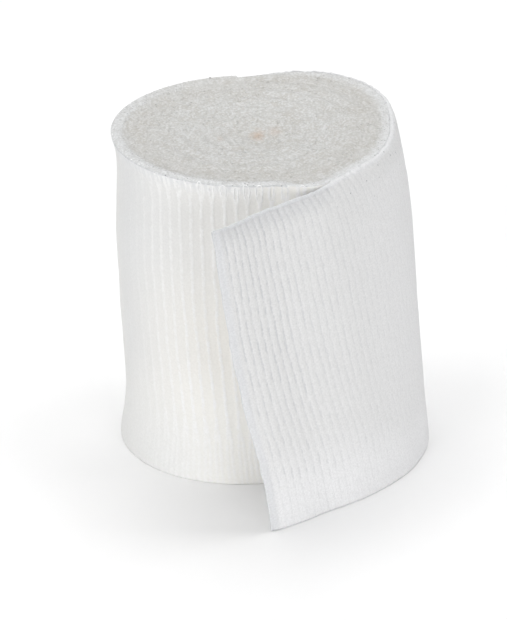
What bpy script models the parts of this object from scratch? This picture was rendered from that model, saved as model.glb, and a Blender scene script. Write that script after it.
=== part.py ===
"""Elastic bandage roll standing on its end, its last turn loosened.

The cloth is wound into one solid roll.  Its last turn stands away from the
roll and leads round the right-hand side to a free cut end at the front.
Units are metres, +Z is up and the origin is the centre of the roll's base.
"""

import math

import bpy
import numpy as np

MM = 0.001

# Cloth
WIDTH = 80.0 * MM
THICKNESS = 1.2 * MM
RELAXED_RIB_PITCH = 1.88 * MM
CLEARANCE = 0.3 * MM

# Roll
ROLL_RADIUS = 32.3 * MM
ROLL_RIB_COUNT = 68
ROLL_RIB_HEIGHT = 0.4 * MM
ROLL_RIB_FOOT = 0.28
LEAVING_ANGLE = math.radians(96.0)
BULGE = 7.4 * MM
BULGE_ANGLE = math.radians(411.0)
BULGE_HALF_SPAN = math.radians(47.0)
RIB_LEAN = math.radians(7.3)
RIB_LEAN_POWER = 2.0
TOP_INSET = 1.6 * MM
BASE_INSET = 2.4 * MM
TOP_RING_COUNT = 24
MAIN_TURN_PITCH = 4.6 * MM
MAIN_TURN_DEPTH = 0.55 * MM
MAIN_TURN_FADE = 5.0 * MM

# Height up the roll (mm), how far the wall stands out there (mm), how oval
# the roll is there as a share of its radius, angle of its long axis (deg),
# share of the bulge where its outer turns are slack
ROLL_WALL = (
    (0.0, -0.50, 0.050, 195.0, 0.70),
    (2.2, -0.60, 0.044, 192.0, 0.71),
    (5.5, -1.05, 0.038, 186.0, 0.73),
    (11.0, -1.50, 0.033, 177.0, 0.76),
    (24.0, -1.20, 0.033, 168.0, 0.82),
    (37.0, -0.70, 0.033, 165.0, 0.88),
    (53.0, -0.30, 0.032, 165.0, 0.94),
    (64.0, -0.60, 0.030, 165.0, 0.97),
    (73.0, -0.80, 0.028, 165.0, 1.00),
    (78.6, -0.25, 0.028, 165.0, 1.00),
    (80.0, 0.00, 0.028, 165.0, 1.00),
)

# Share of the radius, how deep the top lies there (mm)
TOP_DISH = (
    (0.00, 4.0),
    (0.05, 2.8),
    (0.14, 2.0),
    (0.30, 1.5),
    (0.50, 1.0),
    (0.75, 0.6),
    (0.88, 0.7),
    (0.96, 0.2),
    (1.00, 0.0),
)

# Loose end
LOOSE_HEIGHT = 78.8 * MM
LOOSE_RIB_DEPTH = 0.3 * MM
JOINED_SHARE = 0.13
END_TURN_START = 0.45
BASE_LAG = 0.03

# Angle round the roll (deg), radius of the cloth's outer face (mm)
TOP_EDGE = (
    (95.4, 32.3),
    (89.0, 33.3),
    (82.0, 34.8),
    (75.0, 36.6),
    (60.0, 39.3),
    (47.0, 39.7),
    (33.0, 38.3),
    (20.0, 36.2),
    (5.0, 34.5),
    (-12.0, 34.1),
    (-30.0, 34.05),
    (-45.0, 34.2),
    (-58.0, 35.6),
    (-66.0, 37.2),
    (-78.5, 40.6),
    (-88.0, 45.4),
    (-99.3, 55.6),
)
BASE_EDGE = (
    (95.4, 32.3),
    (89.0, 33.2),
    (82.0, 34.6),
    (75.0, 36.2),
    (60.0, 38.9),
    (45.0, 40.4),
    (28.0, 41.5),
    (10.0, 42.0),
    (-2.0, 42.3),
    (-16.0, 43.5),
    (-30.0, 44.5),
    (-47.0, 45.1),
    (-61.0, 46.1),
    (-69.0, 47.2),
    (-75.5, 49.1),
    (-86.2, 53.1),
)

# Share of the width up the cloth, how far it has come from its base line to
# its top line round the roll, and the same at the free end
LOOSE_WALL = (
    (0.00, 0.00, 0.00),
    (0.06, 0.05, 0.05),
    (0.20, 0.15, 0.17),
    (0.40, 0.27, 0.45),
    (0.60, 0.38, 0.67),
    (0.76, 0.50, 0.80),
    (0.88, 0.66, 0.89),
    (0.95, 0.80, 0.94),
    (1.00, 1.00, 1.00),
)


def smooth_table(rows, column, at):
    """Read one column of a table at given places along a smooth curve."""
    table = np.array(rows)
    if table[0, 0] > table[-1, 0]:
        table = table[::-1]
    places = table[:, 0]
    values = table[:, column]
    slopes = np.gradient(values, places)
    index = np.clip(np.searchsorted(places, at) - 1, 0, len(places) - 2)
    span = places[index + 1] - places[index]
    t = np.clip((at - places[index]) / span, 0.0, 1.0)
    start = (1.0 + 2.0 * t) * (1.0 - t) ** 2 * values[index]
    leave = t * (1.0 - t) ** 2 * span * slopes[index]
    end = t * t * (3.0 - 2.0 * t) * values[index + 1]
    arrive = t * t * (t - 1.0) * span * slopes[index + 1]
    return start + leave + end + arrive


def smooth_step(low, high, at):
    """Rise smoothly from 0 to 1 between two places."""
    t = np.clip((at - low) / (high - low), 0.0, 1.0)
    return t * t * (3.0 - 2.0 * t)


def make_object(name, points, faces, color, roughness, collection):
    """Make one named object with its own material from computed points."""
    mesh = bpy.data.meshes.new(name)
    mesh.from_pydata([tuple(point) for point in points], [], faces)
    mesh.update()
    material = bpy.data.materials.new(name + "_cloth")
    material.use_nodes = True
    shader = material.node_tree.nodes["Principled BSDF"]
    shader.inputs["Base Color"].default_value = color
    shader.inputs["Roughness"].default_value = roughness
    mesh.materials.append(material)
    made = bpy.data.objects.new(name, mesh)
    collection.objects.link(made)
    return made


def roll_outline(wound, oval_share, long_axis, bulge_share):
    """Radius of the roll's outer turn after it has wound on by an angle."""
    angle = LEAVING_ANGLE + wound
    oval = 1.0 + oval_share * np.cos(2.0 * (angle - math.radians(long_axis)))
    from_bulge = np.clip((angle - BULGE_ANGLE) / BULGE_HALF_SPAN, -1.0, 1.0)
    bulge = BULGE * bulge_share * np.cos(math.pi / 2.0 * from_bulge) ** 2
    return ROLL_RADIUS * oval + bulge - THICKNESS * wound / math.tau


def lean_shift(wound, height):
    """Angle by which a rib has drifted round the roll at a height."""
    fallen = np.clip(1.0 - height / WIDTH, 0.0, 1.0) ** RIB_LEAN_POWER
    return RIB_LEAN * np.sin(wound / 2.0) ** 2 * fallen


def wall_loop(height, stand_out, *section):
    """One ribbed loop of the roll's wall, from its step right round to it."""
    steps = np.arange(ROLL_RIB_COUNT * 3 + 1)
    phase = np.array((ROLL_RIB_FOOT, 0.5, 1.0 - ROLL_RIB_FOOT))[steps % 3]
    rib = (steps // 3 + phase) / ROLL_RIB_COUNT
    rib[0] = 0.0
    rib[-1] = 1.0
    wound = math.tau * rib
    wound = wound + lean_shift(wound, height)
    raised = np.where(steps % 3 == 1, ROLL_RIB_HEIGHT, 0.0)
    radius = roll_outline(wound, *section) + raised + stand_out
    angle = LEAVING_ANGLE + wound
    across = radius * np.cos(angle)
    along = radius * np.sin(angle)
    return np.column_stack((across, along, np.full(len(steps), height)))


def face_ring(height, radius, *section):
    """One oval ring of an end face, a point to each rib."""
    wound = math.tau * np.arange(ROLL_RIB_COUNT) / ROLL_RIB_COUNT
    wound = wound + lean_shift(wound, height)
    spiral = THICKNESS * wound / math.tau
    oval_radius = roll_outline(wound, *section) + spiral
    radius = radius * oval_radius / ROLL_RADIUS
    angle = LEAVING_ANGLE + wound
    across = radius * np.cos(angle)
    along = radius * np.sin(angle)
    return np.column_stack((across, along, np.full(ROLL_RIB_COUNT, height)))


def sink_top(points):
    """Lower points of the top to its dish and its spiral main turns."""
    angle = np.arctan2(points[:, 1], points[:, 0])
    radius = np.hypot(points[:, 0], points[:, 1])
    wound = np.mod(angle - LEAVING_ANGLE, math.tau)
    share = np.minimum(radius / roll_outline(wound, *ROLL_WALL[-1][2:]), 1.0)
    turn = radius / MAIN_TURN_PITCH + wound / math.tau
    groove = 0.5 - 0.5 * np.cos(math.tau * turn)
    groove = groove * smooth_step(0.0, MAIN_TURN_FADE, radius)
    sunk = points.copy()
    sunk[:, 2] -= smooth_table(TOP_DISH, 1, share) * MM
    sunk[:, 2] -= MAIN_TURN_DEPTH * groove
    return sunk


def bridge_rim(loop_start, ring_start, upward):
    """Faces between a wall loop of three points a rib and a plain ring."""
    faces = []
    last = ROLL_RIB_COUNT * 3
    for rib in range(ROLL_RIB_COUNT):
        outer = loop_start + rib * 3
        inner = ring_start + rib
        following = ring_start + (rib + 1) % ROLL_RIB_COUNT
        faces.append((outer, outer + 1, inner))
        faces.append((outer + 1, outer + 2, following, inner))
        faces.append((outer + 2, outer + 3, following))
    faces.append((loop_start + last, loop_start, ring_start))
    if not upward:
        faces = [face[::-1] for face in faces]
    return faces


def build_roll(collection):
    """The wound roll: ribbed wall, dished top with main turns, flat base."""
    loop_size = ROLL_RIB_COUNT * 3 + 1
    heights = [row[0] * MM for row in ROLL_WALL]
    loops = [wall_loop(row[0] * MM, row[1] * MM, *row[2:]) for row in ROLL_WALL]
    faces = []
    for row in range(len(heights) - 1):
        low = row * loop_size
        high = low + loop_size
        for step in range(loop_size):
            beside = (step + 1) % loop_size
            faces.append((low + step, low + beside, high + beside, high + step))

    points = list(loops)
    count = loop_size * len(loops)
    inner_radius = ROLL_RADIUS - THICKNESS - TOP_INSET
    ring_starts = []
    for ring in range(TOP_RING_COUNT):
        radius = inner_radius * (1.0 - ring / TOP_RING_COUNT)
        points.append(sink_top(face_ring(WIDTH, radius, *ROLL_WALL[-1][2:])))
        ring_starts.append(count)
        count += ROLL_RIB_COUNT
    faces += bridge_rim(loop_size * (len(loops) - 1), ring_starts[0], True)
    for outer, inner in zip(ring_starts, ring_starts[1:]):
        for rib in range(ROLL_RIB_COUNT):
            beside = (rib + 1) % ROLL_RIB_COUNT
            faces.append((outer + rib, outer + beside, inner + beside, inner + rib))
    points.append(sink_top(np.array(((0.0, 0.0, WIDTH),))))
    for rib in range(ROLL_RIB_COUNT):
        beside = (rib + 1) % ROLL_RIB_COUNT
        faces.append((ring_starts[-1] + rib, ring_starts[-1] + beside, count))
    count += 1

    base_ring = count
    points.append(face_ring(0.0, ROLL_RADIUS - BASE_INSET, *ROLL_WALL[0][2:]))
    faces += bridge_rim(0, base_ring, False)
    count += ROLL_RIB_COUNT
    points.append(np.zeros((1, 3)))
    for rib in range(ROLL_RIB_COUNT):
        beside = (rib + 1) % ROLL_RIB_COUNT
        faces.append((base_ring + beside, base_ring + rib, count))

    color = (0.86, 0.85, 0.81, 1.0)
    return make_object("roll", np.vstack(points), faces, color, 0.9, collection)


def step_radius(height):
    """Radius of the roll's outer turn where the loose cloth leaves it."""
    at = height / MM
    stand_out = smooth_table(ROLL_WALL, 1, at) * MM
    section = [float(smooth_table(ROLL_WALL, column, at)) for column in (2, 3, 4)]
    wall = roll_outline(0.0, *section)
    return wall + stand_out + ROLL_RIB_HEIGHT + CLEARANCE


def edge_path(rows):
    """Evenly walked plan path of one edge of the loose cloth."""
    angles = np.linspace(rows[0][0], rows[-1][0], 600)
    radius = smooth_table(rows, 1, angles) * MM
    plan = np.column_stack((np.cos(np.radians(angles)), np.sin(np.radians(angles))))
    plan = plan * radius[:, None]
    walked = np.concatenate(((0.0,), np.cumsum(np.hypot(*np.diff(plan, axis=0).T))))
    return plan, walked


def path_at(path, places):
    """Plan points at given distances along a walked path."""
    plan, walked = path
    along = places * walked[-1]
    across = np.interp(along, walked, plan[:, 0])
    forward = np.interp(along, walked, plan[:, 1])
    return np.column_stack((across, forward))


def build_loose_end(collection):
    """The loosened last turn and free end, ribbed on both faces."""
    top = edge_path(TOP_EDGE)
    base = edge_path(BASE_EDGE)
    rib_count = round(top[1][-1] / RELAXED_RIB_PITCH)
    column_count = rib_count * 3 + 1
    steps = np.arange(column_count)
    phase = np.array((0.0, 0.34, 0.67))[steps % 3]
    places = (steps // 3 + phase) / rib_count
    grooved = np.where((steps % 3 == 1), LOOSE_RIB_DEPTH, 0.0)
    top_line = path_at(top, places)
    base_line = path_at(base, places - BASE_LAG * np.sin(math.pi * places))
    blend = smooth_step(END_TURN_START, 1.0, places)
    joined = 1.0 - smooth_step(0.0, JOINED_SHARE, places)

    outer = []
    inner = []
    for share, around, at_end in LOOSE_WALL:
        mix = (around * (1.0 - blend) + at_end * blend)[:, None]
        line = base_line * (1.0 - mix) + top_line * mix
        height = share * LOOSE_HEIGHT
        stands_off = math.hypot(*line[0]) - step_radius(height)
        radial = line / np.hypot(line[:, 0], line[:, 1])[:, None]
        line = line - radial * (stands_off * joined)[:, None]
        heading = np.gradient(line, axis=0)
        heading /= np.hypot(heading[:, 0], heading[:, 1])[:, None]
        outward = np.column_stack((-heading[:, 1], heading[:, 0]))
        level = np.full((column_count, 1), height)
        outer_line = line - outward * grooved[:, None]
        inner_line = line - outward * (THICKNESS - grooved)[:, None]
        outer.append(np.hstack((outer_line, level)))
        inner.append(np.hstack((inner_line, level)))

    row_count = len(LOOSE_WALL)
    points = np.vstack(outer + inner)
    far_side = row_count * column_count
    faces = []
    for row in range(row_count - 1):
        for step in range(column_count - 1):
            low = row * column_count + step
            high = low + column_count
            faces.append((low + 1, low, high, high + 1))
            low += far_side
            high += far_side
            faces.append((low, low + 1, high + 1, high))
    for step in range(column_count - 1):
        top_row = (row_count - 1) * column_count + step
        faces.append((step, step + 1, far_side + step + 1, far_side + step))
        faces.append((top_row + 1, top_row, far_side + top_row, far_side + top_row + 1))
    for row in range(row_count - 1):
        low = row * column_count
        high = low + column_count
        faces.append((low, far_side + low, far_side + high, high))
        low += column_count - 1
        high += column_count - 1
        faces.append((far_side + low, low, high, far_side + high))

    color = (0.90, 0.91, 0.91, 1.0)
    return make_object("loose_end", points, faces, color, 0.9, collection)


def main():
    """Clear the scene and build the bandage."""
    for old in list(bpy.data.objects):
        bpy.data.objects.remove(old, do_unlink=True)
    collection = bpy.data.collections.new("elastic_bandage_roll")
    bpy.context.scene.collection.children.link(collection)
    build_roll(collection)
    build_loose_end(collection)


main()
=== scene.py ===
"""Dress of a crepe bandage roll that stands on its end, its last turn loosened.

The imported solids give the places.  The wound roll is dressed as a ribbed wall,
a top and an underside of wound selvedges, and small yarn loops; the loosened
turn with its free end is one thin ribbed sheet.  Metres, +Z up.
"""

import logging
import math
from dataclasses import dataclass, field, replace
from enum import Enum

import bpy
import numpy as np
from mathutils import Matrix, Vector

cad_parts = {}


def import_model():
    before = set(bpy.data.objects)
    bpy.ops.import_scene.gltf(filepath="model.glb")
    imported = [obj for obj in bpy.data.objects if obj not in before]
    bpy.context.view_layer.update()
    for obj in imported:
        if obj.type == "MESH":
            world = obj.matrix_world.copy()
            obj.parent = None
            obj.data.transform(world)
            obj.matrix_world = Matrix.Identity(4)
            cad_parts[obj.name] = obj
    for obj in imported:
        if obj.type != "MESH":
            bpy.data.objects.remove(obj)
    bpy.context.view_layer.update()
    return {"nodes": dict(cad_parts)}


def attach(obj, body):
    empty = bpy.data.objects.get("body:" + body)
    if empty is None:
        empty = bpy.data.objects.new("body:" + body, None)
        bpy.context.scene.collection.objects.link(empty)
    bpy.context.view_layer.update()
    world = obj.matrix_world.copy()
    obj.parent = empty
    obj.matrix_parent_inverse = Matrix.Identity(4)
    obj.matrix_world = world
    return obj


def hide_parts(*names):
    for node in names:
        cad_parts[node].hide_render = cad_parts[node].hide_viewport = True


LOG = logging.getLogger("bandage")
MM = 0.001
TAU = math.tau

Rows = tuple[tuple[float, ...], ...]
Span = tuple[float, float]
Color = tuple[float, float, float, float]

# Height up the roll (mm), how far the wall stands out there (mm), oval share
# of the radius, angle of the long axis (deg), share of the slack bulge
ROLL_WALL: Rows = (
    (0.0, -0.50, 0.050, 195.0, 0.70),
    (2.2, -0.60, 0.044, 192.0, 0.71),
    (5.5, -1.05, 0.038, 186.0, 0.73),
    (11.0, -1.50, 0.033, 177.0, 0.76),
    (24.0, -1.20, 0.033, 168.0, 0.82),
    (37.0, -0.70, 0.033, 165.0, 0.88),
    (53.0, -0.30, 0.032, 165.0, 0.94),
    (64.0, -0.60, 0.030, 165.0, 0.97),
    (73.0, -0.80, 0.028, 165.0, 1.00),
    (78.6, -0.25, 0.028, 165.0, 1.00),
    (80.0, 0.00, 0.028, 165.0, 1.00),
)

# Share of the roll's radius, how deep its top lies there (mm)
TOP_DISH: Rows = (
    (0.00, 2.5),
    (0.05, 2.3),
    (0.14, 2.0),
    (0.30, 1.5),
    (0.50, 1.0),
    (0.75, 0.6),
    (0.88, 0.7),
    (0.96, 0.2),
    (1.00, 0.0),
)

# Share of the roll's radius, how light the wound selvedges look there
TOP_TONE: Rows = (
    (0.00, 0.25),
    (0.08, 0.45),
    (0.25, 0.55),
    (0.50, 0.72),
    (0.70, 0.45),
    (0.84, 0.22),
    (0.90, 0.60),
    (0.94, 1.00),
    (1.00, 1.00),
)

# Angle round the roll (deg), radius of the loose cloth's outer face (mm)
TOP_EDGE: Rows = (
    (96.6, 32.2),
    (89.0, 33.3),
    (82.0, 34.8),
    (75.0, 36.6),
    (60.0, 39.3),
    (47.0, 39.7),
    (33.0, 38.3),
    (20.0, 36.2),
    (5.0, 34.5),
    (-12.0, 34.1),
    (-30.0, 34.05),
    (-45.0, 34.2),
    (-58.0, 35.6),
    (-66.0, 37.2),
    (-78.5, 40.6),
    (-88.0, 45.4),
    (-99.3, 55.6),
)
BASE_EDGE: Rows = (
    (96.6, 32.2),
    (89.0, 33.2),
    (82.0, 34.6),
    (75.0, 36.2),
    (60.0, 38.9),
    (45.0, 40.4),
    (28.0, 41.5),
    (10.0, 42.0),
    (-2.0, 42.3),
    (-16.0, 43.5),
    (-30.0, 44.5),
    (-47.0, 45.1),
    (-61.0, 46.1),
    (-69.0, 47.2),
    (-75.5, 49.1),
    (-86.2, 53.1),
)

# Share of the width up the loose cloth, how far it has come there from its
# base line to its top line beside the roll, and the same at its free end
LOOSE_WALL: Rows = (
    (0.00, 0.00, 0.00),
    (0.06, 0.05, 0.05),
    (0.20, 0.15, 0.17),
    (0.40, 0.27, 0.45),
    (0.60, 0.38, 0.67),
    (0.76, 0.50, 0.80),
    (0.88, 0.66, 0.89),
    (0.95, 0.80, 0.94),
    (1.00, 1.00, 1.00),
)


def read_table(rows: Rows, column: int, at: np.ndarray | float) -> np.ndarray:
    """Read one column of a table along a smooth curve.

    Between two rows the value is the cubic that meets both and leaves each
    with the mean slope of its neighbours.

    Args:
        rows: The table; its first column is the place.
        column: The column to read.
        at: Places to read it at.

    Returns:
        The value at each place.
    """
    table = np.array(rows)
    if table[0, 0] > table[-1, 0]:
        table = table[::-1]
    places = table[:, 0]
    values = table[:, column]
    slopes = np.gradient(values, places)
    index = np.clip(np.searchsorted(places, at) - 1, 0, len(places) - 2)
    span = places[index + 1] - places[index]
    t = np.clip((at - places[index]) / span, 0.0, 1.0)
    start = (1.0 + 2.0 * t) * (1.0 - t) ** 2 * values[index]
    leave = t * (1.0 - t) ** 2 * span * slopes[index]
    end = t * t * (3.0 - 2.0 * t) * values[index + 1]
    arrive = t * t * (t - 1.0) * span * slopes[index + 1]
    return start + leave + end + arrive


def smooth_step(low: float, high: float, at: np.ndarray | float) -> np.ndarray:
    """Rise from 0 to 1 between two places, as 3t^2 - 2t^3."""
    t = np.clip((at - low) / (high - low), 0.0, 1.0)
    return t * t * (3.0 - 2.0 * t)


def band(at: np.ndarray, middle: float, reach: float) -> np.ndarray:
    """Bell of height 1 about a middle, as the exponential of -(offset/reach)^2."""
    return np.exp(-(((at - middle) / reach) ** 2))


def linear_color(code: str) -> Color:
    """Turn an sRGB hex colour into linear red, green, blue and alpha.

    Args:
        code: Six hex digits after a hash sign.

    Returns:
        The linear colour, with alpha 1.
    """
    parts = [int(code[start:start + 2], 16) / 255.0 for start in (1, 3, 5)]
    linear = [p / 12.92 if p <= 0.04045 else ((p + 0.055) / 1.055) ** 2.4 for p in parts]
    return (linear[0], linear[1], linear[2], 1.0)


class Drift:
    """A seeded smooth random field on a plane, between -1 and 1.

    Random values stand on the whole-number points of a lattice and are eased
    into each other with 3t^2 - 2t^3 in both directions.
    """

    SIDE = 512

    def __init__(self, seed: int) -> None:
        """Draw the lattice's values from a fixed seed."""
        draw = np.random.default_rng(seed)
        self.values = draw.uniform(-1.0, 1.0, (self.SIDE, self.SIDE))

    def read(self, u: np.ndarray, v: np.ndarray | float = 0.0) -> np.ndarray:
        """Read the field.

        Args:
            u: First coordinate, one lattice step to the unit.
            v: Second coordinate, the same; left out along a single line.

        Returns:
            The field's value at each point.
        """
        u, v = np.broadcast_arrays(u, v)
        column = np.floor(u).astype(int)
        row = np.floor(v).astype(int)
        across = smooth_step(0.0, 1.0, u - column)
        along = smooth_step(0.0, 1.0, v - row)
        left, right = column % self.SIDE, (column + 1) % self.SIDE
        below, above = row % self.SIDE, (row + 1) % self.SIDE
        near = self.values[left, below] * (1.0 - across) + self.values[right, below] * across
        far = self.values[left, above] * (1.0 - across) + self.values[right, above] * across
        return near * (1.0 - along) + far * along


def make_piece(
    name: str,
    points: np.ndarray,
    faces: list[np.ndarray],
    marks: dict[str, np.ndarray],
) -> bpy.types.Object:
    """Make an object of computed points and faces, shaded smooth.

    Args:
        name: The piece's name.
        points: One row of x, y, z for each point.
        faces: Arrays of corner numbers, each with as many columns as its
            faces have corners.
        marks: Values to keep on the points, by attribute name.

    Returns:
        The new object, at the origin.
    """
    corners = np.concatenate([part.ravel() for part in faces])
    sizes = np.concatenate([np.full(len(part), part.shape[1]) for part in faces])
    starts = np.concatenate(((0,), np.cumsum(sizes)[:-1]))
    mesh = bpy.data.meshes.new(name)
    mesh.vertices.add(len(points))
    mesh.vertices.foreach_set("co", points.astype(np.float32).ravel())
    mesh.loops.add(len(corners))
    mesh.loops.foreach_set("vertex_index", corners.astype(np.int32))
    mesh.polygons.add(len(sizes))
    mesh.polygons.foreach_set("loop_start", starts.astype(np.int32))
    mesh.update(calc_edges=True)
    mesh.polygons.foreach_set("use_smooth", np.ones(len(sizes), dtype=bool))
    for label, values in marks.items():
        kept = mesh.attributes.new(label, "FLOAT", "POINT")
        kept.data.foreach_set("value", values.astype(np.float32).ravel())
    mesh.validate()
    made = bpy.data.objects.new(name, mesh)
    bpy.context.scene.collection.objects.link(made)
    return made


def ring_faces(ring_count: int, size: int) -> list[np.ndarray]:
    """Faces of a closed body of rings, each as many points round.

    Ring after ring is joined by four-cornered faces that wrap round, and the
    first and last rings are closed by fans to two middle points, which follow
    the rings' own points.

    Args:
        ring_count: How many rings there are, from the underside upwards.
        size: How many points each has, counter-clockwise from above.

    Returns:
        The four-cornered and three-cornered faces, facing outwards.
    """
    step = np.arange(size)
    beside = (step + 1) % size
    low = (np.arange(ring_count - 1) * size)[:, None]
    high = low + size
    quads = np.stack((low + step, low + beside, high + beside, high + step), -1)
    first = ring_count * size
    last_ring = (ring_count - 1) * size
    under = np.stack((beside, step, np.full(size, first)), -1)
    over = np.stack((last_ring + step, last_ring + beside, np.full(size, first + 1)), -1)
    return [quads.reshape(-1, 4), np.vstack((under, over))]


def drawn_in(ring: np.ndarray, share: float, height: np.ndarray | float) -> np.ndarray:
    """Draw a ring of points in to a share of its radius, at another height."""
    moved = ring * share
    moved[..., 2] = height
    return moved


def pad_rings(values: np.ndarray, below: int, above: int = 0) -> np.ndarray:
    """Give the rings hidden beyond the first and the last the same values."""
    return np.pad(values, ((below, above), (0, 0)), "edge")


def tube_faces(tube_count: int, length: int, sides: int) -> list[np.ndarray]:
    """Faces of many closed tubes, each as many rings of as many sides."""
    step = np.arange(sides)
    beside = (step + 1) % sides
    ring = (np.arange(length - 1) * sides)[:, None]
    skin = np.stack((ring + step, ring + beside, ring + sides + beside, ring + sides + step), -1)
    start = (np.arange(tube_count) * length * sides)[:, None]
    skin = (start[:, :, None] + skin.reshape(1, -1, 4)).reshape(-1, 4)
    near = start + step[::-1]
    far = start + (length - 1) * sides + step
    return [skin, np.vstack((near, far))]


def tube_points(
    paths: np.ndarray, normals: np.ndarray, radii: np.ndarray, sides: int
) -> np.ndarray:
    """Sweep a round profile along many paths at once.

    A profile point is the path's point plus the radius times the cosine of
    its angle along the normal and the sine along the cross of normal and
    heading.

    Args:
        paths: Tubes, points along each, x, y, z.
        normals: A direction across each path, the same shape.
        radii: The tube's radius at each point.
        sides: Corners of the profile.

    Returns:
        One row of x, y, z for each point, tube by tube, ring by ring.
    """
    heading = np.gradient(paths, axis=1)
    heading /= np.linalg.norm(heading, axis=2, keepdims=True)
    over = np.cross(normals, heading)
    over /= np.linalg.norm(over, axis=2, keepdims=True)
    across = np.cross(heading, over)
    turn = TAU * np.arange(sides) / sides
    reach = radii[:, :, None, None]
    around = across[:, :, None] * np.cos(turn)[:, None] + over[:, :, None] * np.sin(turn)[:, None]
    return (paths[:, :, None] + around * reach).reshape(-1, 3)


@dataclass
class RollForm:
    """The wound roll's form, which its pieces share.

    A span of turned angles is in degrees round the roll, as in the edge
    tables, and the change runs from the span's first end to its second.
    """

    width: float = 80.0 * MM
    thickness: float = 1.2 * MM
    radius: float = 32.3 * MM
    rib_count: int = 68
    rib_height: float = 0.10 * MM
    leaving_angle: float = math.radians(96.0)
    bulge: float = 7.4 * MM
    bulge_angle: float = math.radians(411.0)
    bulge_half_span: float = math.radians(47.0)
    rib_lean: float = math.radians(7.3)
    rib_lean_power: float = 2.0
    main_turn_pitch: float = 4.6 * MM
    main_turn_depth: float = 0.30 * MM
    main_turn_fade: float = 5.0 * MM
    touch_gap: float = 0.02 * MM
    flare: float = 0.45 * MM
    rim_drop: float = 0.50 * MM
    lip_drop: float = 0.74 * MM
    rim_width: float = 1.1 * MM
    lip_width: float = 3.6 * MM
    rim_power: float = 2.2
    flare_ends: Span = (-84.0, -66.0)
    flare_rises: Span = (75.5 * MM, 79.5 * MM)
    touch_starts: Span = (-81.0, -60.0)
    touch_rises: Span = (62.0 * MM, 72.0 * MM)
    beside_starts: Span = (-72.0, -56.0)
    beside_ends: Span = (98.0, 84.0)

    @property
    def turn_count(self) -> float:
        """How many turns of cloth lie between the middle and the wall."""
        return self.radius / self.thickness

    def turned(self, wound: np.ndarray) -> np.ndarray:
        """Angle round the roll in degrees, as the edge tables count it."""
        return np.degrees(self.leaving_angle + wound) - 360.0

    def outline(self, wound: np.ndarray, height: np.ndarray) -> np.ndarray:
        """Radius of the outer turn without its ribs.

        A circle is made oval by a cosine of twice the angle from the long
        axis, a squared cosine lets its slack side bulge, and one thickness is
        lost over the turn, so that the wall steps where the cloth leaves it.

        Args:
            wound: Angle wound on from the step.
            height: Height above the floor.

        Returns:
            The radius there.
        """
        at = height / MM
        angle = self.leaving_angle + wound
        long_axis = np.radians(read_table(ROLL_WALL, 3, at))
        oval = 1.0 + read_table(ROLL_WALL, 2, at) * np.cos(2.0 * (angle - long_axis))
        from_bulge = np.clip((angle - self.bulge_angle) / self.bulge_half_span, -1.0, 1.0)
        bulge = self.bulge * read_table(ROLL_WALL, 4, at) * np.cos(math.pi / 2.0 * from_bulge) ** 2
        stand_out = read_table(ROLL_WALL, 1, at) * MM
        radius = self.radius * oval + bulge + stand_out - self.thickness * wound / TAU
        radius = radius + self.flared(wound, height)
        short = self.reach_out(wound) - radius
        return radius + np.maximum(short, 0.0) * self.touching(wound, height)

    def flared(self, wound: np.ndarray, height: np.ndarray) -> np.ndarray:
        """How far the selvedge flares out near the top, but not inside the loose cloth."""
        free = 1.0 - smooth_step(*self.flare_ends, self.turned(wound))
        return self.flare * free * smooth_step(*self.flare_rises, height)

    def reach_out(self, wound: np.ndarray) -> np.ndarray:
        """Radius at which a turn just touches the loose cloth from inside."""
        return read_table(TOP_EDGE, 1, self.turned(wound)) * MM - self.thickness - self.touch_gap

    def touching(self, wound: np.ndarray, height: np.ndarray) -> np.ndarray:
        """How far the turns near the top fill the room to the loose cloth, 0 to 1."""
        around = smooth_step(*self.touch_starts, self.turned(wound))
        return around * smooth_step(*self.touch_rises, height)

    def beside(self, wound: np.ndarray) -> np.ndarray:
        """Where the loose cloth lies against the roll's rim, from 0 to 1."""
        turned = self.turned(wound)
        return smooth_step(*self.beside_starts, turned) * smooth_step(*self.beside_ends, turned)

    def rim_way(self, wound: np.ndarray, radius: np.ndarray, edge: np.ndarray) -> np.ndarray:
        """How far over the rounded rim a place on the top is, from 0 to 1 at the edge.

        The rounding is broader where the loose cloth lies against the roll.
        """
        width = self.rim_width + (self.lip_width - self.rim_width) * self.beside(wound)
        return np.clip(1.0 - (edge - radius) / width, 0.0, 1.0) ** self.rim_power

    def rim_fall(self, wound: np.ndarray) -> np.ndarray:
        """How far the top's edge lies below its rim, lower beside the loose cloth."""
        return self.rim_drop + (self.lip_drop - self.rim_drop) * self.beside(wound)

    def rim_inward(self, height: np.ndarray) -> np.ndarray:
        """How far inside the wall the rounded rim lies at a height above it."""
        fallen = np.clip((self.width - height) / self.rim_drop, 0.0, 1.0)
        return self.rim_width * (1.0 - fallen ** (1.0 / self.rim_power))

    def lean(self, wound: np.ndarray, height: np.ndarray) -> np.ndarray:
        """Angle by which a rib has drifted round the roll at a height."""
        fallen = np.clip(1.0 - height / self.width, 0.0, 1.0) ** self.rib_lean_power
        return self.rib_lean * np.sin(wound / 2.0) ** 2 * fallen

    def place(self, wound: np.ndarray, radius: np.ndarray, height: np.ndarray) -> np.ndarray:
        """Turn an angle wound on, a radius and a height into x, y, z."""
        angle = self.leaving_angle + wound
        wound, radius, height = np.broadcast_arrays(wound, radius, height)
        return np.stack((radius * np.cos(angle), radius * np.sin(angle), height), -1)

    def spiral_angle(self, length: np.ndarray) -> np.ndarray:
        """Angle wound on after a length of cloth, from the step inwards.

        The radius falls evenly from the wall to the middle, so the length is
        the radius times (angle - angle^2 / twice the whole angle), and this
        is its inverse.
        """
        whole = TAU * self.turn_count
        return whole * (1.0 - np.sqrt(np.maximum(1.0 - 2.0 * length / (self.radius * whole), 0.0)))

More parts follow.
